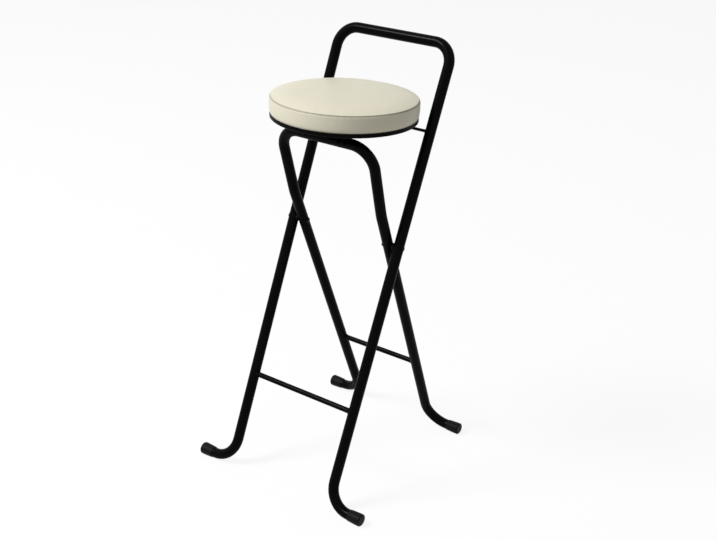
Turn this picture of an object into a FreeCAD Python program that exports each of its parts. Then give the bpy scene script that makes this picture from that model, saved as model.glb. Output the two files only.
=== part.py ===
import FreeCAD, Part
import math
import os

# Folding bar stool. Millimetres, +Z up, front feet toward -Y. Left and right are as seen
# from the front, so the left leg is on the -X side.
# The origin lies on the floor, midway between the front and the rear feet.
# Two bent tube frames cross at a pair of rivets. The outer frame is the handle and the
# front legs, the inner frame carries the front of the seat and is the rear legs.

os.makedirs("parts", exist_ok=True)
Vector = FreeCAD.Vector
UP = Vector(0, 0, 1)
X_AXIS = Vector(1, 0, 0)
SIDES = (("left", -1), ("right", 1))

# Frame tubes
tube_diameter = 21.3
tube_wall = 1.2
foot_axis_height = 12.4
foot_spacing = 419.5
outer_width_floor = 252.0
outer_width_top = 267.4
inner_splay = 28.0
leg_gap = 4.0
handle_rise = 135.0
kink_height = 576.0
upper_lean_degrees = 17.8
foot_bare_run = 3.6
handle_corner_radius = 41.5
inner_corner_radius = 46.0
foot_bend_radius = 49.0
kink_radius = 110.0

# Welded cross rods
rung_diameter = 11.0
front_rung_height = 192.5
rear_rung_height = 187.0
hinge_rod_diameter = 6.0
weld_flare = 1.6
weld_length = 3.0

# Pivot rivets
rivet_diameter = 8.0
rivet_head_diameter = 10.6
rivet_head_height = 1.3
head_crown_latitude = 85.0
spacer_diameter = 13.0
washer_diameter = 11.8
washer_thickness = 0.5

# Foot caps
cap_length = 30.0
cap_end_thickness = 4.0
cap_mouth_diameter = 23.2
cap_end_diameter = 25.4
cap_end_round = 3.0
cap_mouth_round = 0.6

# Seat
seat_centre_y = -32.2
seat_underside_height = 747.0
hinge_setback = 102.4
hinge_drop = 24.2
bar_advance = 59.5
bar_drop = 28.0
pan_diameter = 285.6
pan_wall = 1.2
pan_rim_height = 8.2
board_thickness = 6.6
cushion_diameter = 290.0
band_height = 31.6
shoulder_height = 4.5
shoulder_width = 9.0
crown_height = 10.5
vinyl_thickness = 1.0
tuck_width = 24.0
foam_edge_rise = 2.5

# Staples under the seat board
staple_count = 16
staple_crown = 10.0
staple_leg = 5.0
staple_width = 1.2
staple_gauge = 0.6
staple_edge_distance = 14.0

# Seat rails and their screws
rail_pitch = 92.0
rail_width = 16.0
rail_sheet = 1.6
rail_lip = 6.0
rail_ear_radius = 7.2
screw_inset = 26.0
screw_diameter = 4.0
screw_length = 9.0
screw_head_diameter = 8.0
screw_head_height = 2.4
screw_slot_width = 1.1
screw_slot_length = 4.8

# Clearances
slip = 0.05
weld_gap = 0.02
running_gap = 0.3

tube_radius = tube_diameter / 2
bore_radius = tube_radius - tube_wall
rung_radius = rung_diameter / 2
rod_radius = hinge_rod_diameter / 2
rivet_radius = rivet_diameter / 2
rod_height = seat_underside_height - hinge_drop
bar_height = seat_underside_height - bar_drop
handle_height = seat_underside_height + handle_rise
hinge_y = seat_centre_y + hinge_setback
bar_y = seat_centre_y - bar_advance

# The outer legs run straight from the front feet to the hinge rod. The inner legs run
# from the rear feet to a slight kink, and above it lean less, up to the top bar.
outer_slope = (foot_spacing / 2 + hinge_y) / (rod_height - foot_axis_height)
upper_slope = math.tan(math.radians(upper_lean_degrees))
kink_y = bar_y + (bar_height - kink_height) * upper_slope
inner_slope = (foot_spacing / 2 - kink_y) / (kink_height - foot_axis_height)

pivot_rise = foot_spacing / (outer_slope + inner_slope)
pivot_height = foot_axis_height + pivot_rise
pivot_y = pivot_rise * outer_slope - foot_spacing / 2


def outer_width(height):
    share = (height - foot_axis_height) / (handle_height - foot_axis_height)
    return outer_width_floor + (outer_width_top - outer_width_floor) * share


def inner_width(height):
    """The inner frame clears the outer one by the leg gap where the rivets are."""
    at_pivot = outer_width(pivot_height) - 2 * (tube_diameter + leg_gap)
    return at_pivot + inner_splay * (height - pivot_height) / (bar_height - foot_axis_height)


def outer_point(side, height):
    """Axis of a front leg at a height; side is -1, 0 or 1."""
    y = (height - foot_axis_height) * outer_slope - foot_spacing / 2
    return Vector(side * outer_width(height) / 2, y, height)


def inner_point(side, height):
    """Axis of a rear leg, or of its upper part above the kink, at a height."""
    if height > kink_height:
        y = kink_y - (height - kink_height) * upper_slope
    else:
        y = foot_spacing / 2 - (height - foot_axis_height) * inner_slope
    return Vector(side * inner_width(height) / 2, y, height)


foot_length = foot_bend_radius + foot_bare_run + cap_length
front_foot_reach = outer_width(foot_axis_height) / 2 + foot_length
rear_foot_reach = inner_width(foot_axis_height) / 2 + foot_length


def export(name, shape):
    shape.exportStep("parts/" + name + ".step")
    box = shape.optimalBoundingBox(False)
    print(name, len(shape.Solids), "solid", round(shape.Volume, 1), "mm3",
          "z", round(box.ZMin, 2), round(box.ZMax, 2))


def bent_path(points, radii):
    """Straight runs joined by tangent arcs, one radius for each inner point."""
    edges = []
    start = points[0]
    for i, radius in enumerate(radii):
        corner = points[i + 1]
        back = (points[i] - corner).normalize()
        ahead = (points[i + 2] - corner).normalize()
        half_angle = back.getAngle(ahead) / 2
        setback = radius / math.tan(half_angle)
        bisector = (back + ahead).normalize()
        middle = corner + bisector * (radius / math.sin(half_angle) - radius)
        arc_start = corner + back * setback
        arc_end = corner + ahead * setback
        edges.append(Part.LineSegment(start, arc_start).toShape())
        edges.append(Part.Arc(arc_start, middle, arc_end).toShape())
        start = arc_end
    edges.append(Part.LineSegment(start, points[-1]).toShape())
    return Part.Wire(edges)


def swept(path, radius):
    first = path.OrderedEdges[0]
    start = first.valueAt(first.FirstParameter)
    direction = first.tangentAt(first.FirstParameter)
    section = Part.Wire(Part.Circle(start, direction, radius).toShape())
    return path.makePipeShell([section], True, False)


def placed(shape, origin, direction):
    """Move a shape made along +Z so that it starts at origin and runs along direction."""
    shape.Placement = FreeCAD.Placement(origin, FreeCAD.Rotation(UP, direction))
    return shape


def turned(outline, axis_y=0.0):
    """Full turn about a vertical axis. The outline holds (radius, height) corners."""
    corners = [Vector(radius, axis_y, height) for radius, height in outline]
    face = Part.Face(Part.makePolygon(corners + [corners[0]]))
    return face.revolve(Vector(0, axis_y, 0), UP, 360)


def dome(radius, height):
    """Low spherical head standing on z = 0, with a small flat struck on its crown."""
    ball = (radius * radius + height * height) / (2 * height)
    latitude = math.degrees(math.asin((ball - height) / ball))
    centre = Vector(0, 0, height - ball)
    return Part.makeSphere(ball, centre, UP, latitude, head_crown_latitude, 360)


def outer_path():
    foot_x = front_foot_reach - cap_end_thickness
    foot_y = outer_point(0, foot_axis_height).y
    points = [Vector(-foot_x, foot_y, foot_axis_height)]
    points += [outer_point(-1, foot_axis_height), outer_point(-1, handle_height)]
    points += [outer_point(1, handle_height), outer_point(1, foot_axis_height)]
    points += [Vector(foot_x, foot_y, foot_axis_height)]
    corner = handle_corner_radius
    return bent_path(points, [foot_bend_radius, corner, corner, foot_bend_radius])


def inner_path():
    foot_x = rear_foot_reach - cap_end_thickness
    foot_y = inner_point(0, foot_axis_height).y
    points = [Vector(-foot_x, foot_y, foot_axis_height)]
    for height in (foot_axis_height, kink_height, bar_height):
        points.append(inner_point(-1, height))
    for height in (bar_height, kink_height, foot_axis_height):
        points.append(inner_point(1, height))
    points += [Vector(foot_x, foot_y, foot_axis_height)]
    half = [foot_bend_radius, kink_radius, inner_corner_radius]
    return bent_path(points, half + half[::-1])


def pivot_bore():
    """Hole for the rivets, right across both frames."""
    reach = outer_width_top
    bore = Part.makeCylinder(rivet_radius + slip, 2 * reach)
    return placed(bore, Vector(-reach, pivot_y, pivot_height), X_AXIS)


def frame_tube(path):
    tube = swept(path, tube_radius).cut(swept(path, bore_radius))
    return tube.cut(pivot_bore())


def leg_piece(leg_point, side, height):
    """Straight length of a leg, a hair thicker than the tube, to mouth other parts onto it."""
    low = leg_point(side, height - tube_diameter)
    high = leg_point(side, height + tube_diameter)
    piece = Part.makeCylinder(tube_radius + weld_gap, (high - low).Length)
    return placed(piece, low, high - low)


def cross_rod(leg_point, height, radius):
    """Rod between two legs, mouthed onto them, with a flared weld at each end."""
    start = leg_point(-1, height)
    end = leg_point(1, height)
    span = end - start
    along = Vector(span).normalize()
    rod = placed(Part.makeCylinder(radius, span.Length), start, span)
    toe = radius + weld_flare
    depth = math.sqrt(tube_radius * tube_radius - toe * toe)
    for point, direction in ((start, along), (end, along * -1)):
        flare = Part.makeCone(toe, radius, tube_radius + weld_length - depth)
        rod = rod.fuse(placed(flare, point + direction * depth, direction))
    for side in (-1, 1):
        rod = rod.cut(leg_piece(leg_point, side, height))
    return rod.removeSplitter()


def rivet(side):
    """Pin with a domed head outside the outer leg and a formed head inside the inner leg."""
    outside = outer_point(1, pivot_height).x + tube_radius + 2 * slip
    inside = inner_point(1, pivot_height).x - tube_radius - running_gap - washer_thickness - slip
    head_radius = rivet_head_diameter / 2
    start = Vector(side * inside, pivot_y, pivot_height)
    end = Vector(side * outside, pivot_y, pivot_height)
    outward = X_AXIS * side
    pin = placed(Part.makeCylinder(rivet_radius, outside - inside), start, outward)
    outer_head = placed(dome(head_radius, rivet_head_height), end, outward)
    inner_head = placed(dome(head_radius, rivet_head_height), start, outward * -1)
    return pin.fuse([outer_head, inner_head])


def ring(outside_radius, thickness, side, x):
    """Flat ring on the pivot axis, from x outward."""
    disc = Part.makeCylinder(outside_radius, thickness)
    disc = disc.cut(Part.makeCylinder(rivet_radius + slip, thickness))
    return placed(disc, Vector(side * x, pivot_y, pivot_height), X_AXIS * side)


def spacer(side):
    """Nylon spacer between the tubes, hollowed to sit on the outer leg."""
    start = inner_point(1, pivot_height).x + tube_radius + running_gap
    end = outer_point(1, pivot_height).x
    body = ring(spacer_diameter / 2, end - start, side, start)
    return body.cut(leg_piece(outer_point, side, pivot_height))


def washer(side):
    start = inner_point(1, pivot_height).x - tube_radius - running_gap - washer_thickness
    return ring(washer_diameter / 2, washer_thickness, side, start)


def foot_cap(side, reach, y):
    """Bulging rubber cap pushed over a tube end, with a small flat worn by the floor."""
    mouth = cap_mouth_diameter / 2
    end = cap_end_diameter / 2
    bevel = cap_end_round * (1 - math.sqrt(0.5))
    foot = Vector(0, 0, 0)
    heel = Vector(0, end - cap_end_round, 0)
    edge = Vector(0, end, cap_end_round)
    lip = Vector(0, mouth, cap_length - cap_mouth_round)
    rim = [lip, Vector(0, mouth - cap_mouth_round, cap_length), Vector(0, 0, cap_length), foot, heel]
    edges = [Part.Arc(heel, Vector(0, end - bevel, bevel), edge).toShape()]
    edges += [Part.Arc(edge, Vector(0, end - (end - mouth) / 4, cap_length / 2), lip).toShape()]
    edges += [Part.LineSegment(rim[i], rim[i + 1]).toShape() for i in range(len(rim) - 1)]
    cap = Part.Face(Part.Wire(edges)).revolve(foot, UP, 360)
    socket = Part.makeCylinder(tube_radius + slip, cap_length, Vector(0, 0, cap_end_thickness))
    cap = placed(cap.cut(socket), Vector(side * reach, y, foot_axis_height), X_AXIS * -side)
    below = Part.makeBox(4 * cap_length, 4 * cap_length, cap_length)
    below.translate(Vector(side * reach - 2 * cap_length, y - 2 * cap_length, -cap_length))
    return cap.cut(below)


pan_radius = pan_diameter / 2
cushion_radius = cushion_diameter / 2
pan_floor_top = seat_underside_height + pan_wall
rim_top = seat_underside_height + pan_rim_height
tuck_radius = pan_radius - pan_wall - running_gap
board_radius = tuck_radius - vinyl_thickness - slip
staple_bottom = pan_floor_top + running_gap
tuck_bottom = staple_bottom + staple_gauge
board_bottom = tuck_bottom + vinyl_thickness
board_top = board_bottom + board_thickness
band_bottom = rim_top + running_gap
seam_height = rim_top + band_height


def seat_pan():
    """Pressed steel dish under the seat board."""
    inside = pan_radius - pan_wall
    outline = [(0, seat_underside_height), (pan_radius - pan_wall, seat_underside_height)]
    outline += [(pan_radius, seat_underside_height + pan_wall), (pan_radius, rim_top)]
    outline += [(inside, rim_top), (inside, pan_floor_top), (0, pan_floor_top)]
    return turned(outline, seat_centre_y).cut(screw_holes())


def seat_board(staples):
    board = Part.makeCylinder(board_radius, board_thickness, Vector(0, seat_centre_y, board_bottom))
    return board.cut(screw_holes()).cut(staples)


def dome_solid(radius, base, shoulder, crown):
    """Round pad top: a short shoulder, then a ball-shaped crown, turned about the seat axis."""
    shoulder_turn = math.radians(45)
    reach = radius - shoulder_width
    rise = crown - shoulder
    ball = (reach * reach + rise * rise) / (2 * rise)
    half_height = base + crown - ball + math.sqrt(ball * ball - reach * reach / 4)
    rim = Vector(radius, seat_centre_y, base)
    corner = Vector(radius - shoulder_width * (1 - math.sin(shoulder_turn)), seat_centre_y,
                    base + shoulder * math.cos(shoulder_turn))
    edge = Vector(reach, seat_centre_y, base + shoulder)
    half = Vector(reach / 2, seat_centre_y, half_height)
    top = Vector(0, seat_centre_y, base + crown)
    foot = Vector(0, seat_centre_y, base)
    edges = [Part.Arc(rim, corner, edge).toShape(), Part.Arc(edge, half, top).toShape()]
    edges += [Part.LineSegment(top, foot).toShape(), Part.LineSegment(foot, rim).toShape()]
    face = Part.Face(Part.Wire(edges))
    return face.revolve(Vector(0, seat_centre_y, 0), UP, 360)


def cover_top_panel():
    inner_radius = cushion_radius - vinyl_thickness
    outside = dome_solid(cushion_radius, seam_height, shoulder_height, crown_height)
    inside = dome_solid(inner_radius, seam_height, shoulder_height - vinyl_thickness,
                        crown_height - vinyl_thickness)
    return outside.cut(inside)


def cover_side_band(staples):
    """Band of the cover: sewn to the top panel, tucked into the pan and under the board."""
    tuck_inside = board_radius - tuck_width
    neck = tuck_radius - vinyl_thickness
    wall = cushion_radius - vinyl_thickness
    outline = [(tuck_inside, tuck_bottom), (tuck_radius, tuck_bottom), (tuck_radius, band_bottom)]
    outline += [(cushion_radius - vinyl_thickness, band_bottom)]
    outline += [(cushion_radius, band_bottom + vinyl_thickness), (cushion_radius, seam_height)]
    outline += [(wall, seam_height), (wall, band_bottom + 2 * vinyl_thickness)]
    outline += [(neck, band_bottom + vinyl_thickness), (neck, board_bottom)]
    outline += [(tuck_inside, board_bottom)]
    return turned(outline, seat_centre_y).cut(staples).cut(screw_holes())


def seat_foam():
    """Foam pad on the board, inside the cover."""
    radius = cushion_radius - vinyl_thickness - running_gap
    base = board_top + slip
    outline = [(0, base), (board_radius, base), (radius, base + foam_edge_rise)]
    outline += [(radius, seam_height), (0, seam_height)]
    body = turned(outline, seat_centre_y)
    drop = vinyl_thickness + running_gap
    top = dome_solid(radius, seam_height, shoulder_height - drop, crown_height - drop)
    return body.fuse(top).removeSplitter()


def staple(angle):
    """Wire staple that holds the tucked vinyl to the underside of the board."""
    crown = Part.makeBox(staple_width, staple_crown, staple_gauge)
    crown.translate(Vector(-staple_width / 2, -staple_crown / 2, 0))
    leg_height = staple_leg + staple_gauge
    for end in (-staple_crown / 2, staple_crown / 2 - staple_gauge):
        leg = Part.makeBox(staple_width, staple_gauge, leg_height)
        leg.translate(Vector(-staple_width / 2, end, 0))
        crown = crown.fuse(leg)
    crown = crown.removeSplitter()
    crown.translate(Vector(board_radius - staple_edge_distance, seat_centre_y, staple_bottom))
    crown.rotate(Vector(0, seat_centre_y, 0), UP, angle)
    return crown


def cover_staples():
    step = 360 / staple_count
    return Part.makeCompound([staple((i + 0.5) * step) for i in range(staple_count)])


def rail_screw_places():
    height = seat_underside_height - rail_sheet
    spots = []
    for side in (-1, 1):
        for y in (bar_y + screw_inset, hinge_y - screw_inset):
            spots.append(Vector(side * rail_pitch / 2, y, height))
    return spots


def screw(place):
    """Cross-head screw driven up through the pan into the board; place is under the head."""
    shank = Part.makeCylinder(screw_diameter / 2, screw_length)
    head = dome(screw_head_diameter / 2, screw_head_height)
    slot_depth = screw_head_height / 2
    for length, width in ((screw_slot_length, screw_slot_width), (screw_slot_width, screw_slot_length)):
        slot = Part.makeBox(length, width, slot_depth)
        slot.translate(Vector(-length / 2, -width / 2, screw_head_height - slot_depth))
        head = head.cut(slot)
    head.rotate(Vector(0, 0, 0), X_AXIS, 180)
    body = shank.fuse(head)
    body.translate(place)
    return body


def screw_holes():
    holes = []
    for place in rail_screw_places():
        hole = Part.makeCylinder(screw_diameter / 2 + slip, 2 * screw_length)
        hole.translate(place - UP)
        holes.append(hole)
    return Part.makeCompound(holes)


def seat_rail(side):
    """Inverted channel under the pan: ears round the hinge rod, lips ahead of the top bar."""
    left_x = side * rail_pitch / 2 - rail_width / 2
    under = seat_underside_height
    web_bottom = bar_height + tube_radius + running_gap
    lip_back = bar_y - tube_radius - running_gap
    lip_front = lip_back - rail_lip
    ear_front = hinge_y - rail_ear_radius
    ear_back = hinge_y + rail_ear_radius
    outline = [(lip_front, under), (lip_front, bar_height + rail_lip / 2)]
    outline += [(lip_front + rail_lip / 2, bar_height), (lip_back, bar_height)]
    outline += [(lip_back, web_bottom), (ear_front, web_bottom), (ear_front, rod_height)]
    outline += [(ear_back, rod_height), (ear_back, under)]
    corners = [Vector(left_x, y, z) for y, z in outline]
    web = Part.Face(Part.makePolygon(corners + [corners[0]])).extrude(X_AXIS * rail_width)
    axis = Vector(left_x, hinge_y, rod_height)
    rail = web.fuse(Part.makeCylinder(rail_ear_radius, rail_width, axis, X_AXIS))
    hollow = Part.makeBox(rail_width - 2 * rail_sheet, pan_diameter, bar_drop + rail_width)
    hollow.translate(Vector(left_x + rail_sheet, seat_centre_y - pan_radius,
                            under - rail_sheet - bar_drop - rail_width))
    rod_hole = Part.makeCylinder(rod_radius + slip, rail_width, axis, X_AXIS)
    return rail.cut(hollow).cut(rod_hole).cut(screw_holes()).removeSplitter()


outer_legs = outer_path()
inner_legs = inner_path()
export("outer_frame_tube", frame_tube(outer_legs))
export("inner_frame_tube", frame_tube(inner_legs))
export("front_rung", cross_rod(outer_point, front_rung_height, rung_radius))
export("rear_rung", cross_rod(inner_point, rear_rung_height, rung_radius))
export("seat_hinge_rod", cross_rod(outer_point, rod_height, rod_radius))
front_y = outer_point(0, foot_axis_height).y
rear_y = inner_point(0, foot_axis_height).y
for name, side in SIDES:
    export(name + "_pivot_rivet", rivet(side))
    export(name + "_pivot_spacer", spacer(side))
    export(name + "_pivot_washer", washer(side))
    export("front_" + name + "_foot_cap", foot_cap(side, front_foot_reach, front_y))
    export("rear_" + name + "_foot_cap", foot_cap(side, rear_foot_reach, rear_y))
    export(name + "_seat_rail", seat_rail(side))
staples = cover_staples()
export("seat_pan", seat_pan())
export("seat_board", seat_board(staples))
export("seat_foam", seat_foam())
export("cover_top_panel", cover_top_panel())
export("cover_side_band", cover_side_band(staples))
export("cover_staples", staples)
export("rail_screws", Part.makeCompound([screw(place) for place in rail_screw_places()]))
print("pivot", round(pivot_y, 3), round(pivot_height, 3))
print("hinge rod", round(hinge_y, 3), round(rod_height, 3), "bar", round(bar_y, 3), round(bar_height, 3))
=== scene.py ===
# %% [markdown]
# # A folding bar stool, dressed for its portrait
# The stool is two bent steel tubes that cross like scissors, with a round padded seat on top.
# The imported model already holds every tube, rod, rivet and cap at its real size. This script
# loads it, gives each surface the finish of the real one, and sews a soft cushion over the seat.
# Everything is in metres, with +Z up and the front feet toward -Y.

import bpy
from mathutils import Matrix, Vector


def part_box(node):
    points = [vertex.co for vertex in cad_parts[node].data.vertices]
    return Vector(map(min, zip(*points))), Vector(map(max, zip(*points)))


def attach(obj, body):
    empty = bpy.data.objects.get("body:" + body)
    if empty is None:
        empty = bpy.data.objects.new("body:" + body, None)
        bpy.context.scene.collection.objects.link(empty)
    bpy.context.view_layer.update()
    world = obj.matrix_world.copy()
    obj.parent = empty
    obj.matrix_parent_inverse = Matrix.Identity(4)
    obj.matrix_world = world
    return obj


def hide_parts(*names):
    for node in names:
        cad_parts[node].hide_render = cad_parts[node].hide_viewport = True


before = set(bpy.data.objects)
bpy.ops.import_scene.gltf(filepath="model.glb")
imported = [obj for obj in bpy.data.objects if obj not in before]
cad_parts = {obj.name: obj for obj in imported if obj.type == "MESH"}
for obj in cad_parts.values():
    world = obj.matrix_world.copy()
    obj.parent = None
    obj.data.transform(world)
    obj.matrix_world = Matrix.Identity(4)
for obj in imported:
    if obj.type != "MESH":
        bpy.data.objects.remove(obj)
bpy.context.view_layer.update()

# %% [markdown]
# ## Helpers
# A list of points and a list of faces is the plainest way to make a mesh. Here the points come
# in closed rings. A ring joined to the next one gives quads, and quads subdivide smoothly, so
# every piece below is "lofted" from rings. Random numbers come from one seeded generator, so
# that each run gives the same stool.

# %% Mesh and number helpers
import math
import random

import bpy
from mathutils import Matrix, Vector

MM = 0.001
SEED = 7
dice = random.Random(SEED)


def loft(name, rings, cap_first=False, cap_last=False, endless=False):
    """A mesh from equal closed rings of points, each joined to the next with quads."""
    count = len(rings[0])
    points = [point for ring in rings for point in ring]
    faces = []
    for row in range(len(rings) if endless else len(rings) - 1):
        a, b = row * count, (row + 1) % len(rings) * count
        for i in range(count):
            j = (i + 1) % count
            faces.append((a + i, a + j, b + j, b + i))
    if cap_first:
        faces.append(tuple(reversed(range(count))))
    if cap_last:
        faces.append(tuple((len(rings) - 1) * count + i for i in range(count)))
    mesh = bpy.data.meshes.new(name)
    mesh.from_pydata([tuple(p) for p in points], [], faces)
    mesh.update()
    piece = bpy.data.objects.new(name, mesh)
    bpy.context.scene.collection.objects.link(piece)
    return piece


print("loft ready, random numbers seeded with", SEED)

# %% [markdown]
# ## Node helpers
# A finish is a small graph: a coordinate, a few noises, and one shader. Object coordinates are
# used all through, because they are in metres here and need no unwrapping. The helpers below
# add a node, wire it and return it, so that each finish reads top to bottom.

# %% Finish helpers
def finish_of(name, colour, roughness, metallic=0.0):
    """A new material with its Principled shader. Returns (material, nodes, links, shader)."""
    material = bpy.data.materials.new(name)
    material.use_nodes = True
    nodes, links = material.node_tree.nodes, material.node_tree.links
    shader = nodes["Principled BSDF"]
    shader.inputs["Base Color"].default_value = (*colour, 1)
    shader.inputs["Roughness"].default_value = roughness
    shader.inputs["Metallic"].default_value = metallic
    return material, nodes, links, shader


def place_of(nodes, links, stretch=(1, 1, 1)):
    """Object coordinates, in metres, stretched."""
    coordinate = nodes.new("ShaderNodeTexCoord")
    mapping = nodes.new("ShaderNodeMapping")
    mapping.inputs["Scale"].default_value = stretch
    links.new(coordinate.outputs["Object"], mapping.inputs["Vector"])
    return mapping.outputs["Vector"]


def noise_of(nodes, links, place, per_metre, detail=3.0, rough=0.55):
    noise = nodes.new("ShaderNodeTexNoise")
    noise.inputs["Scale"].default_value = per_metre
    noise.inputs["Detail"].default_value = detail
    noise.inputs["Roughness"].default_value = rough
    links.new(place, noise.inputs["Vector"])
    return noise.outputs["Fac"]


def ranged(nodes, links, value, low, high, out_low, out_high):
    """The value, with low..high spread over out_low..out_high."""
    spread = nodes.new("ShaderNodeMapRange")
    spread.inputs["From Min"].default_value = low
    spread.inputs["From Max"].default_value = high
    spread.inputs["To Min"].default_value = out_low
    spread.inputs["To Max"].default_value = out_high
    links.new(value, spread.inputs["Value"])
    return spread.outputs["Result"]


def blended(nodes, links, factor, first, second):
    """Two colours mixed by a factor."""
    mix = nodes.new("ShaderNodeMix")
    mix.data_type = "RGBA"
    links.new(factor, mix.inputs["Factor"])
    for socket, colour in ((mix.inputs["A"], first), (mix.inputs["B"], second)):
        if isinstance(colour, bpy.types.NodeSocket):
            links.new(colour, socket)
        else:
            socket.default_value = (*colour, 1)
    return mix.outputs["Result"]


def bumped(nodes, links, height, depth, strength):
    """A bump of a real depth in metres."""
    bump = nodes.new("ShaderNodeBump")
    bump.inputs["Strength"].default_value = strength
    bump.inputs["Distance"].default_value = depth
    links.new(height, bump.inputs["Height"])
    return bump.outputs["Normal"]


print("finishes so far", len(bpy.data.materials))

# %% [markdown]
# ## Black enamel on the tubes
# The frame is bent steel tube under a baked black enamel. Close up such enamel is never a
# perfect mirror: it has a faint orange-peel ripple, a slightly uneven sheen, and here and there
# a rubbed, greyer spot. The surroundings are white, so even a weak reflection would turn the
# black grey. The specular level is kept low for that reason, and a whisper of clear coat adds
# the small sharp glints of the lamp on top of the soft broad one. The tubes, the rods and the
# pan were painted apart, so each has its own pair of blacks and its own roughness.

# %% Enamel
PEEL_PER_METRE = 420
PEEL_DEPTH = 0.05 * MM


def enamel(name, colour, dull, roughness):
    """Baked paint that drifts between two blacks, with a rippled skin and a thin clear coat."""
    material, nodes, links, shader = finish_of(name, colour, roughness)
    place = place_of(nodes, links)
    cloud = noise_of(nodes, links, place, 14, 4)
    colour_mix = blended(nodes, links, ranged(nodes, links, cloud, 0.35, 0.7, 0, 1), colour, dull)
    links.new(colour_mix, shader.inputs["Base Color"])
    rub = noise_of(nodes, links, place, 55, 5, 0.65)
    links.new(ranged(nodes, links, rub, 0.3, 0.75, roughness - 0.05, roughness + 0.09),
              shader.inputs["Roughness"])
    peel = noise_of(nodes, links, place, PEEL_PER_METRE, 2, 0.4)
    links.new(bumped(nodes, links, peel, PEEL_DEPTH, 0.3), shader.inputs["Normal"])
    shader.inputs["Specular IOR Level"].default_value = 0.02
    shader.inputs["Coat Weight"].default_value = 0.035
    shader.inputs["Coat Roughness"].default_value = 0.09
    return material


frame_enamel = enamel("frame_enamel", (0.0005, 0.0005, 0.0007), (0.0016, 0.0016, 0.0020), 0.30)
rod_enamel = enamel("rod_enamel", (0.0006, 0.0006, 0.0008), (0.0018, 0.0018, 0.0022), 0.33)
pan_enamel = enamel("pan_enamel", (0.0007, 0.0007, 0.0009), (0.0020, 0.0020, 0.0024), 0.38)
print("enamels", frame_enamel.name, rod_enamel.name, pan_enamel.name)

# %% [markdown]
# ## Foot-cap rubber
# The feet end in black caps of soft, filled plastic. It is matt, a little grey, and picks up
# dust and scuffs low down where it meets the floor. Height above the floor is the object's own
# Z, so a mask made from Z keeps the dust low on every cap.

# %% Rubber
DUST_HEIGHT = 10 * MM


def cap_rubber_finish():
    """Matt black plastic with a fine grain, dusty and scuffed near the floor."""
    material, nodes, links, shader = finish_of("cap_rubber", (0.006, 0.006, 0.007), 0.55)
    place = place_of(nodes, links)
    split = nodes.new("ShaderNodeSeparateXYZ")
    links.new(place, split.inputs["Vector"])
    low_down = ranged(nodes, links, split.outputs["Z"], 0.0, DUST_HEIGHT, 1, 0)
    scuff = noise_of(nodes, links, place, 160, 5, 0.7)
    dust = nodes.new("ShaderNodeMath")
    dust.operation = "MULTIPLY"
    links.new(low_down, dust.inputs[0])
    links.new(ranged(nodes, links, scuff, 0.42, 0.68, 0, 1), dust.inputs[1])
    grey = noise_of(nodes, links, place, 60, 3)
    base = blended(nodes, links, grey, (0.0018, 0.0018, 0.0023), (0.0045, 0.0045, 0.0053))
    shader.inputs["Specular IOR Level"].default_value = 0.08
    links.new(blended(nodes, links, dust.outputs[0], base, (0.022, 0.021, 0.019)),
              shader.inputs["Base Color"])
    links.new(ranged(nodes, links, scuff, 0.3, 0.7, 0.42, 0.62), shader.inputs["Roughness"])
    grain = noise_of(nodes, links, place, 1500, 2, 0.5)
    links.new(bumped(nodes, links, grain, 0.08 * MM, 0.6), shader.inputs["Normal"])
    return material


cap_rubber = cap_rubber_finish()
print("cap rubber ready")

# %% [markdown]
# ## Ivory vinyl
# The cushion is covered in upholstery vinyl: a pale ivory plastic skin pressed with a fine
# leather grain. The grain is made of small rounded cells about a millimetre wide, which a
# Voronoi texture gives, broken up by noise. Colour drifts a little over the seat, and the
# valleys of the grain are a touch darker. At the height of the seam, read from the imported
# top panel, a thin line of painted shade darkens the colour, for the shadow in the sewn groove.

# %% Vinyl
GRAIN_PER_METRE = 850
# Painted shade along the seam: full within the first distance of its height, gone by the second.
SEAM_SHADE_FULL = 0.8 * MM
SEAM_SHADE_END = 2.2 * MM
seam_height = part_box("cover_top_panel")[0].z


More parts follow.
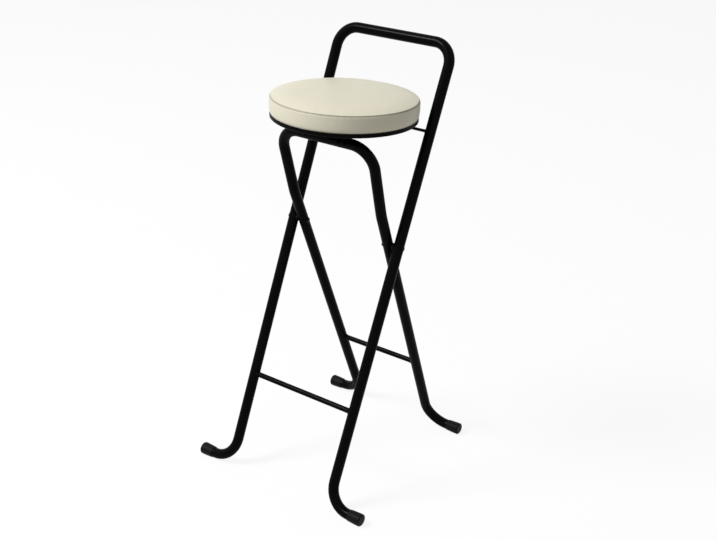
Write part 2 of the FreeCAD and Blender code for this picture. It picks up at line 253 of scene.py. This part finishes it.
def vinyl_finish():
    """Ivory vinyl with a leather grain, darker in its valleys, with painted shade along the seam.
    """
    material, nodes, links, shader = finish_of("ivory_vinyl", (0.72, 0.685, 0.54), 0.45)
    place = place_of(nodes, links)
    warp = noise_of(nodes, links, place, 900, 2)
    cells = nodes.new("ShaderNodeTexVoronoi")
    cells.feature = "SMOOTH_F1"
    cells.inputs["Scale"].default_value = GRAIN_PER_METRE
    cells.inputs["Smoothness"].default_value = 0.6
    links.new(place, cells.inputs["Vector"])
    fine = nodes.new("ShaderNodeMath")
    fine.operation = "MULTIPLY_ADD"
    links.new(warp, fine.inputs[0])
    fine.inputs[1].default_value = 0.5
    links.new(cells.outputs["Distance"], fine.inputs[2])
    drift = noise_of(nodes, links, place, 9, 4)
    tone = blended(nodes, links, ranged(nodes, links, drift, 0.3, 0.7, 0, 1),
                   (0.728, 0.694, 0.552), (0.706, 0.672, 0.532))
    valley = ranged(nodes, links, fine.outputs[0], 0.25, 0.95, 0, 0.3)
    skin = blended(nodes, links, valley, tone, (0.66, 0.62, 0.48))
    split = nodes.new("ShaderNodeSeparateXYZ")
    links.new(place, split.inputs["Vector"])
    above = nodes.new("ShaderNodeMath")
    above.operation = "SUBTRACT"
    links.new(split.outputs["Z"], above.inputs[0])
    above.inputs[1].default_value = seam_height
    distance = nodes.new("ShaderNodeMath")
    distance.operation = "ABSOLUTE"
    links.new(above.outputs[0], distance.inputs[0])
    # Painted shade: a thin darker line at the seam's height stands for the shadow in the sewn
    # groove.
    painted_seam_shade = ranged(nodes, links, distance.outputs[0], SEAM_SHADE_FULL, SEAM_SHADE_END, 0.8, 0)
    links.new(blended(nodes, links, painted_seam_shade, skin, (0.31, 0.29, 0.215)),
              shader.inputs["Base Color"])
    wear = noise_of(nodes, links, place, 30, 4)
    links.new(ranged(nodes, links, wear, 0.3, 0.7, 0.40, 0.52), shader.inputs["Roughness"])
    links.new(bumped(nodes, links, fine.outputs[0], 0.12 * MM, 0.35), shader.inputs["Normal"])
    shader.inputs["Specular IOR Level"].default_value = 0.42
    shader.inputs["Sheen Weight"].default_value = 0.06
    shader.inputs["Sheen Roughness"].default_value = 0.5
    return material


ivory_vinyl = vinyl_finish()
print("vinyl ready, seam at", round(seam_height / MM, 1), "mm")

# %% [markdown]
# ## The small materials
# The rivets are blackened steel, the screws under the seat are zinc plated, the spacers
# between the legs are nylon and the seat board is plywood. Each gets a finish of its own, even
# where it hardly shows, since the stool is looked at from below as well.

# %% Rivets, screws, nylon and plywood
def blackened_steel_finish():
    """Rivets and washers: dark, hardly metallic."""
    material, nodes, links, shader = finish_of("blackened_steel", (0.008, 0.008, 0.009), 0.36, 0.3)
    place = place_of(nodes, links)
    cloud = noise_of(nodes, links, place, 300, 4)
    links.new(blended(nodes, links, cloud, (0.0015, 0.0015, 0.0019), (0.0045, 0.0045, 0.0052)),
              shader.inputs["Base Color"])
    links.new(ranged(nodes, links, cloud, 0.3, 0.7, 0.28, 0.44), shader.inputs["Roughness"])
    shader.inputs["Specular IOR Level"].default_value = 0.06
    links.new(bumped(nodes, links, cloud, 0.05 * MM, 0.4), shader.inputs["Normal"])
    return material


def zinc_finish():
    """Screws and staples: bright zinc, clouded from warm to cold grey."""
    material, nodes, links, shader = finish_of("zinc_plate", (0.55, 0.55, 0.56), 0.3, 1.0)
    place = place_of(nodes, links)
    cloud = noise_of(nodes, links, place, 500, 3)
    links.new(blended(nodes, links, cloud, (0.46, 0.47, 0.49), (0.62, 0.61, 0.58)),
              shader.inputs["Base Color"])
    links.new(ranged(nodes, links, cloud, 0.3, 0.7, 0.24, 0.40), shader.inputs["Roughness"])
    links.new(bumped(nodes, links, cloud, 0.03 * MM, 0.3), shader.inputs["Normal"])
    return material


def nylon_finish():
    """Spacers between the legs: moulded black plastic."""
    material, nodes, links, shader = finish_of("black_nylon", (0.006, 0.006, 0.007), 0.45)
    place = place_of(nodes, links)
    mottle = noise_of(nodes, links, place, 700, 3)
    links.new(blended(nodes, links, mottle, (0.0012, 0.0012, 0.0015), (0.0035, 0.0035, 0.0040)),
              shader.inputs["Base Color"])
    links.new(ranged(nodes, links, mottle, 0.3, 0.7, 0.38, 0.52), shader.inputs["Roughness"])
    shader.inputs["Specular IOR Level"].default_value = 0.05
    links.new(bumped(nodes, links, mottle, 0.05 * MM, 0.4), shader.inputs["Normal"])
    return material


def plywood_finish():
    """Seat board: long grain on the face, thin dark plies along the edge."""
    material, nodes, links, shader = finish_of("seat_plywood", (0.55, 0.40, 0.24), 0.6)
    grain_place = place_of(nodes, links, stretch=(1, 12, 1))
    grain = noise_of(nodes, links, grain_place, 22, 6, 0.6)
    plies = nodes.new("ShaderNodeTexWave")
    plies.bands_direction = "Z"
    plies.inputs["Scale"].default_value = 230
    plies.inputs["Distortion"].default_value = 0.4
    links.new(place_of(nodes, links), plies.inputs["Vector"])
    face = blended(nodes, links, grain, (0.60, 0.45, 0.28), (0.42, 0.29, 0.17))
    edge_mix = ranged(nodes, links, plies.outputs["Fac"], 0.3, 0.7, 0, 0.4)
    links.new(blended(nodes, links, edge_mix, face, (0.33, 0.22, 0.13)),
              shader.inputs["Base Color"])
    links.new(bumped(nodes, links, grain, 0.2 * MM, 0.5), shader.inputs["Normal"])
    return material


blackened_steel = blackened_steel_finish()
zinc_plate = zinc_finish()
black_nylon = nylon_finish()
seat_plywood = plywood_finish()
print("small finishes ready")

# %% [markdown]
# ## Hand out the finishes
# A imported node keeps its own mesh. Only its material slots are filled here, and round faces
# are shaded smooth by the import already.

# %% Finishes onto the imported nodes
FINISHES = {
    frame_enamel: ["outer_frame_tube", "inner_frame_tube"],
    rod_enamel: ["front_rung", "rear_rung", "seat_hinge_rod"],
    pan_enamel: ["seat_pan", "left_seat_rail", "right_seat_rail"],
    cap_rubber: ["front_left_foot_cap", "front_right_foot_cap",
                 "rear_left_foot_cap", "rear_right_foot_cap"],
    blackened_steel: ["left_pivot_rivet", "right_pivot_rivet",
                      "left_pivot_washer", "right_pivot_washer"],
    black_nylon: ["left_pivot_spacer", "right_pivot_spacer"],
    zinc_plate: ["rail_screws", "cover_staples"],
    seat_plywood: ["seat_board"],
    ivory_vinyl: ["cover_top_panel", "cover_side_band", "seat_foam"],
}
for finish, node_names in FINISHES.items():
    for node_name in node_names:
        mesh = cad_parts[node_name].data
        mesh.materials.clear()
        mesh.materials.append(finish)
print("finished nodes", sum(len(v) for v in FINISHES.values()))

# %% [markdown]
# ## The cushion, before it is stuffed
# The seat cover is two pieces of vinyl: a flat disc on top and a band round the side, sewn
# together along the rim and stapled under a board. Drawn as a half profile and turned through
# a full circle it gives a tidy drum. The drum is slightly smaller than the finished cushion,
# because stuffing it comes next and makes it swell.

# %% Cushion profile and drum
band_low, band_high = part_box("cover_side_band")
pan_low, pan_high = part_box("seat_pan")
seat_axis = Vector(((band_low.x + band_high.x) / 2, (band_low.y + band_high.y) / 2, 0))
cushion_radius = (band_high.x - band_low.x) / 2
rim_height = pan_high.z
TUCK_INSET = 1.6 * MM
UNDERSIDE = 3.2 * MM
BAND_ROWS = 9
CROWN_ROWS = 9
CROWN_EDGE = 19 * MM
AROUND = 160
tuck_radius = (pan_high.x - pan_low.x) / 2 - TUCK_INSET


def cushion_profile():
    """Rows of (radius, height) from the middle of the underside to the middle of the top."""
    underside = rim_height - UNDERSIDE
    rows = [(30 * MM, underside), (80 * MM, underside), (120 * MM, underside),
            (tuck_radius - 1.2 * MM, rim_height - 3.0 * MM),
            (tuck_radius, rim_height - 1.2 * MM), (tuck_radius + 0.4 * MM, rim_height + 0.5 * MM)]
    for i in range(1, BAND_ROWS + 1):
        t = i / (BAND_ROWS + 1)
        height = rim_height + (seam_height - rim_height) * t
        fullness = math.sin(math.pi * min(1, 0.25 + t)) * 0.5 * MM
        shoulder_in = 1.6 * MM * (1 - t) ** 3
        rows.append((cushion_radius - 1.0 * MM + fullness - shoulder_in, height))
    rows.append((cushion_radius - 1.4 * MM, seam_height - 1.1 * MM))
    seam_row = len(rows)
    rows.append((cushion_radius - 2.1 * MM, seam_height))
    for inset, rise in ((2.0, 0.9), (2.5, 2.0), (4.4, 3.2), (7.8, 4.3), (12.6, 5.1), (19.0, 5.9)):
        rows.append((cushion_radius - inset * MM, seam_height + rise * MM))
    edge_radius = cushion_radius - CROWN_EDGE
    for i in range(1, CROWN_ROWS + 1):
        radius = edge_radius * (1 - i / (CROWN_ROWS + 0.6))
        share = 1 - (radius / edge_radius) ** 2
        rows.append((radius, seam_height + (5.9 + 3.1 * share) * MM))
    return rows, seam_row


def turned_rings(rows, around):
    """The half profile, turned through a full circle about the seat's axis."""
    angles = [2 * math.pi * i / around for i in range(around)]
    return [[seat_axis + Vector((radius * math.cos(angle), radius * math.sin(angle), height))
             for angle in angles] for radius, height in rows]


profile, seam_row = cushion_profile()
cushion = loft("seat_cushion", turned_rings(profile, AROUND), cap_first=True, cap_last=True)
print("cushion drum", len(cushion.data.vertices), "points, seam row", seam_row)

# %% [markdown]
# ## Stuffing it
# Cloth with air pressure inside behaves like a stuffed cover. The tucked edge is held fast, the
# seam is held most of the way because two layers and thread make it stiff, and the rest is
# free to puff out. Gravity is off: foam holds the skin up. Loose cloth creases more than vinyl
# over foam does, so the travel is then evened out round each ring. Last, each point's travel
# is capped, so that the pad keeps the size of the real one.

# %% Stuff the cushion
PRESSURE = 4.0
MOST_TRAVEL = 3.2 * MM


def stuff(pad, held, pressure, frames=20):
    """Inflates the pad as cloth and returns how far each point moved."""
    group = pad.vertex_groups.new(name="held")
    for index, weight in held.items():
        group.add([index], weight, "REPLACE")
    cloth = pad.modifiers.new("stuffing", "CLOTH")
    settings = cloth.settings
    settings.quality = 6
    settings.mass = 0.3
    settings.tension_stiffness = 40
    settings.compression_stiffness = 40
    settings.shear_stiffness = 12
    settings.bending_stiffness = 4
    settings.use_pressure = True
    settings.uniform_pressure_force = pressure
    settings.vertex_group_mass = "held"
    settings.effector_weights.gravity = 0
    cloth.collision_settings.use_collision = False
    scene = bpy.context.scene
    for number in range(1, frames + 1):
        scene.frame_set(number)
    graph = bpy.context.evaluated_depsgraph_get()
    after = [v.co.copy() for v in pad.evaluated_get(graph).data.vertices]
    travel = [moved - vertex.co for moved, vertex in zip(after, pad.data.vertices)]
    pad.modifiers.remove(cloth)
    scene.frame_set(1)
    return travel


def calmer(travel, rows_count, reach=7, kept=0.25):
    """Evens out the travel round each ring, so that only a trace of the creases is left."""
    calm = []
    for row in range(rows_count):
        ring = travel[row * AROUND:(row + 1) * AROUND]
        for i in range(AROUND):
            near = [ring[(i + k) % AROUND] for k in range(-reach, reach + 1)]
            even = sum(near, Vector()) / len(near)
            calm.append(even.lerp(ring[i], kept))
    return calm


TUCKED_ROWS = range(6)
SEAM_HOLD = 0.97
row_weights = {row: 1.0 for row in TUCKED_ROWS}
row_weights[seam_row] = SEAM_HOLD
held_weights = {row * AROUND + i: weight
                for row, weight in row_weights.items() for i in range(AROUND)}
travelled = 0.0
travel = calmer(stuff(cushion, held_weights, PRESSURE), len(profile))
longest = max(step.length for step in travel)
for vertex, step in zip(cushion.data.vertices, travel):
    length = step.length
    if length > 1e-9:
        capped = MOST_TRAVEL * (1 - math.exp(-length / MOST_TRAVEL))
        vertex.co += step * (capped / length)
        travelled = max(travelled, capped)
print("stuffing moved points up to", round(longest / MM, 2), "mm, of which",
      round(travelled / MM, 2), "mm were kept")

# %% [markdown]
# ## The seam
# Where the disc and the band are sewn together the skin is drawn in, and it puckers faintly on
# both sides between the stitches. The skin is refined first, so that it can follow so small a
# form. It then sinks inward along the seam, with a smooth falloff over about a millimetre, and
# small ripples that die away from the seam stand for the puckers.

# %% Draw the seam in
SEAM_DEPTH = 1.3 * MM
SEAM_REACH = 1.1 * MM
PUCKER = 0.66 * MM
PUCKER_FADE = 4.5 * MM
PUCKER_END = 14 * MM


def smooth(piece):
    for polygon in piece.data.polygons:
        polygon.use_smooth = True
    return piece


def draw_seam(pad, levels=2):
    """Refines the pad, then sinks the seam line and ripples the skin beside it."""
    refine = pad.modifiers.new("refine", "SUBSURF")
    refine.levels = levels
    refine.render_levels = levels
    graph = bpy.context.evaluated_depsgraph_get()
    fine = bpy.data.meshes.new_from_object(pad.evaluated_get(graph))
    pad.modifiers.remove(refine)
    pad.data = fine
    waves = [(dice.randint(36, 150), dice.uniform(0, 2 * math.pi), dice.uniform(0.3, 1.0))
             for _ in range(14)]
    total = sum(size for _, _, size in waves)
    for vertex in fine.vertices:
        offset = vertex.co - seat_axis
        radius = math.hypot(offset.x, offset.y)
        if radius < cushion_radius - PUCKER_END:
            continue
        angle = math.atan2(offset.y, offset.x)
        outward = Vector((offset.x, offset.y, 0)).normalized()
        away = vertex.co.z - seam_height
        sink = SEAM_DEPTH * math.exp(-(away / SEAM_REACH) ** 2)
        ripple = sum(size * math.sin(count * angle + phase) for count, phase, size in waves) / total
        fade = math.exp(-abs(away) / PUCKER_FADE) if abs(away) < PUCKER_END else 0
        vertex.co += outward * (PUCKER * ripple * fade - sink)
    fine.update()
    return smooth(pad)


draw_seam(cushion)
print("cushion has", len(cushion.data.polygons), "faces")

# %% [markdown]
# ## Putting the cushion in place
# The cushion stands for three imported solids: the top panel, the side band and the foam. They
# are hidden, and the cushion rides on the seat in their place, in the ivory vinyl.

cushion.data.materials.clear()
cushion.data.materials.append(ivory_vinyl)
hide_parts("cover_top_panel", "cover_side_band", "seat_foam")
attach(cushion, "seat")
print("cushion wears", cushion.data.materials[0].name)

# %% [markdown]
# ## Weld beads
# The rungs and the hinge rod are welded onto the legs. A weld is a small ring of metal round
# the rod's end, rippled where the wire was fed, and it lies on the leg's round surface, so the
# ring is saddle-shaped. A loop of points is worked out on that surface and given thickness.

# %% Weld beads
TUBE_RADIUS = 10.65 * MM
BEAD_INSET = 1.3 * MM
BEAD_STEPS = 72
BEAD_AROUND = 10


def bead(name, centre, along, up, rod_radius, thickness):
    """A rippled ring on a leg's skin, round a rod that runs from the leg's centre along."""
    side = along.cross(up).normalized()
    phase = dice.uniform(0, 2 * math.pi)
    rings = []
    for i in range(BEAD_STEPS):
        angle = 2 * math.pi * i / BEAD_STEPS
        across, lift = rod_radius * math.cos(angle), rod_radius * math.sin(angle)
        depth = math.sqrt(TUBE_RADIUS ** 2 - across ** 2)
        middle = centre + along * depth + side * across + up * lift
        outward = (side * math.cos(angle) + up * math.sin(angle)).normalized()
        size = thickness * (1 + 0.15 * math.sin(12 * angle + phase) + 0.08 * math.sin(5 * angle))
        ring = []
        for k in range(BEAD_AROUND):
            turn = 2 * math.pi * k / BEAD_AROUND
            skin = outward * (size * math.cos(turn)) + along * (size * math.sin(turn))
            ring.append(middle + skin)
        rings.append(ring)
    return smooth(loft(name, rings, endless=True))


def centre_of(node):
    low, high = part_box(node)
    return (low + high) / 2


def weld_rod(rod, body, thickness):
    """Beads at both ends of a cross rod, placed from the rod's own box."""
    low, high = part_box(rod)
    middle = centre_of(rod)
    pivot = centre_of("left_pivot_rivet")
    up = Vector((0, pivot.y - middle.y, pivot.z - middle.z)).normalized()
    flare_radius = (high.z - low.z) / 2
    leg_x = high.x + math.sqrt(TUBE_RADIUS ** 2 - flare_radius ** 2)
    for side_name, side in (("left", -1), ("right", 1)):
        centre = Vector((side * leg_x, middle.y, middle.z))
        ring = bead(rod + "_weld_" + side_name, centre, Vector((-side, 0, 0)), up,
                    flare_radius - BEAD_INSET, thickness)
        ring.data.materials.append(rod_enamel)
        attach(ring, body)
    return leg_x


for rod, body, thickness in (("front_rung", "outer_frame", 1.5 * MM),
                             ("rear_rung", "inner_frame", 1.5 * MM),
                             ("seat_hinge_rod", "outer_frame", 1.1 * MM)):
    print(rod, "welded to legs at x", round(weld_rod(rod, body, thickness) / MM, 1), "mm")

# %% [markdown]
# ## Floor
# The photograph is a studio shot on white. More light on the floor would whiten it, but it
# would wash out the stool as well. So the floor mixes a white glow, shown only to rays that
# look at it, with its own matt shading, which keeps the soft shadow under the stool.

# %% Floor
FLOOR_REACH = 14.0
FLOOR_STEPS = 64
FLOOR_DROP = 0.2 * MM
GLOW_STRENGTH = 1.13
GLOW_SHARE = 0.78


def looked_at(nodes, links):
    """1 for rays that show the surroundings, straight or by reflection, and 0 for soft light."""
    path = nodes.new("ShaderNodeLightPath")
    value = path.outputs["Is Camera Ray"]
    for kind in ("Is Glossy Ray", "Is Transmission Ray"):
        either = nodes.new("ShaderNodeMath")
        either.operation = "MAXIMUM"
        links.new(value, either.inputs[0])
        links.new(path.outputs[kind], either.inputs[1])
        value = either.outputs[0]
    return value


def floor_finish():
    """Matt pale floor that mostly shows white to the rays that look at it."""
    material = bpy.data.materials.new("studio_floor")
    material.use_nodes = True
    nodes, links = material.node_tree.nodes, material.node_tree.links
    nodes.clear()
    output = nodes.new("ShaderNodeOutputMaterial")
    matt = nodes.new("ShaderNodeBsdfDiffuse")
    place = place_of(nodes, links)
    speck = noise_of(nodes, links, place, 3, 4)
    links.new(blended(nodes, links, speck, (0.54, 0.54, 0.54), (0.57, 0.57, 0.57)),
              matt.inputs["Color"])
    glow = nodes.new("ShaderNodeEmission")
    glow.inputs["Color"].default_value = (1, 1, 1, 1)
    glow.inputs["Strength"].default_value = GLOW_STRENGTH
    share = nodes.new("ShaderNodeMath")
    share.operation = "MULTIPLY"
    links.new(looked_at(nodes, links), share.inputs[0])
    share.inputs[1].default_value = GLOW_SHARE
    mix = nodes.new("ShaderNodeMixShader")
    links.new(share.outputs[0], mix.inputs["Fac"])
    links.new(matt.outputs[0], mix.inputs[1])
    links.new(glow.outputs[0], mix.inputs[2])
    links.new(mix.outputs[0], output.inputs["Surface"])
    return material


def studio_floor():
    """A round floor, a hair under the feet."""
    angles = [2 * math.pi * i / FLOOR_STEPS for i in range(FLOOR_STEPS)]
    rings = [[Vector((radius * math.cos(angle), radius * math.sin(angle), -FLOOR_DROP))
              for angle in angles] for radius in (0.02, 0.5, 1.5, 4.0, FLOOR_REACH)]
    floor = loft("studio_floor", rings, cap_first=True)
    floor.data.materials.append(floor_finish())


studio_floor()
print("floor laid,", FLOOR_REACH, "m to its edge")

# %% [markdown]
# ## Light
# One large soft lamp stands high on the left, and an even white surrounding fills the rest.
# The surrounding is dim as light and full white where it is seen, straight or in a
# reflection. Lamp and fill together are weak enough for the ivory vinyl not to clip.

# %% World and lamps
FILL_STRENGTH = 0.36
KEY_TOWARD = (-0.454, -0.544, 0.705)
KEY_DISTANCE = 6.0
KEY_SIZE = 1.8
KEY_WATTS = 323
LAMP_TARGET = (0, 0, 0.6)


def studio_world(fill):
    """A white surrounding: fill is its strength as light, 1 is its strength to the eye."""
    world = bpy.data.worlds.new("studio_world")
    bpy.context.scene.world = world
    world.use_nodes = True
    nodes, links = world.node_tree.nodes, world.node_tree.links
    nodes.clear()
    output = nodes.new("ShaderNodeOutputWorld")
    soft = nodes.new("ShaderNodeBackground")
    soft.inputs["Color"].default_value = (1, 1, 1, 1)
    soft.inputs["Strength"].default_value = fill
    white = nodes.new("ShaderNodeBackground")
    white.inputs["Color"].default_value = (1, 1, 1, 1)
    white.inputs["Strength"].default_value = 1.0
    mix = nodes.new("ShaderNodeMixShader")
    links.new(looked_at(nodes, links), mix.inputs["Fac"])
    links.new(soft.outputs[0], mix.inputs[1])
    links.new(white.outputs[0], mix.inputs[2])
    links.new(mix.outputs[0], output.inputs["Surface"])


def soft_lamp(name, toward, distance, size, watts):
    """A square soft lamp that looks at the middle of the stool from a direction."""
    light = bpy.data.lights.new(name, "AREA")
    light.shape = "SQUARE"
    light.size = size
    light.energy = watts
    lamp = bpy.data.objects.new(name, light)
    bpy.context.scene.collection.objects.link(lamp)
    target = Vector(LAMP_TARGET)
    direction = Vector(toward).normalized()
    lamp.location = target + direction * distance
    lamp.rotation_mode = "QUATERNION"
    lamp.rotation_quaternion = direction.to_track_quat("Z", "Y")


studio_world(FILL_STRENGTH)
soft_lamp("key_lamp", KEY_TOWARD, KEY_DISTANCE, KEY_SIZE, KEY_WATTS)
print("lamps lit, fill", FILL_STRENGTH, "key", KEY_WATTS, "watts")

# %% [markdown]
# ## Camera
# The camera stands half a metre above the seat, in front and to the right, as in the
# photograph. It is rolled by a few degrees, which leans the whole stool to the right in the
# picture. Its focal length comes from how fast the far legs shrink.

# %% Camera
CAMERA_AZIMUTH = 34.79
CAMERA_ELEVATION = 23.16
CAMERA_ROLL = 2.65
CAMERA_DISTANCE = 2.3123
AIM_RIGHT = 0.0216
AIM_HEIGHT = 0.4195
FOCAL_PIXELS = 1129.2
FRAME_WIDTH = 716


def portrait_camera():
    a, e, r = (math.radians(v) for v in (CAMERA_AZIMUTH, CAMERA_ELEVATION, CAMERA_ROLL))
    back = Vector((math.sin(a) * math.cos(e), -math.cos(a) * math.cos(e), math.sin(e)))
    right = Vector((math.cos(a), math.sin(a), 0))
    up = back.cross(right)
    rolled_right = right * math.cos(r) + up * math.sin(r)
    rolled_up = up * math.cos(r) - right * math.sin(r)
    place = Vector((0, 0, AIM_HEIGHT)) + right * AIM_RIGHT + back * CAMERA_DISTANCE
    turn = Matrix((rolled_right, rolled_up, back)).transposed()
    data = bpy.data.cameras.new("portrait_camera")
    data.sensor_width = 36
    data.lens = FOCAL_PIXELS * data.sensor_width / FRAME_WIDTH
    camera = bpy.data.objects.new("portrait_camera", data)
    bpy.context.scene.collection.objects.link(camera)
    camera.matrix_world = Matrix.Translation(place) @ turn.to_4x4()
    bpy.context.scene.camera = camera
    return camera


camera = portrait_camera()
bpy.context.scene.view_settings.view_transform = "Standard"
print("lens", round(camera.data.lens, 2), "mm")
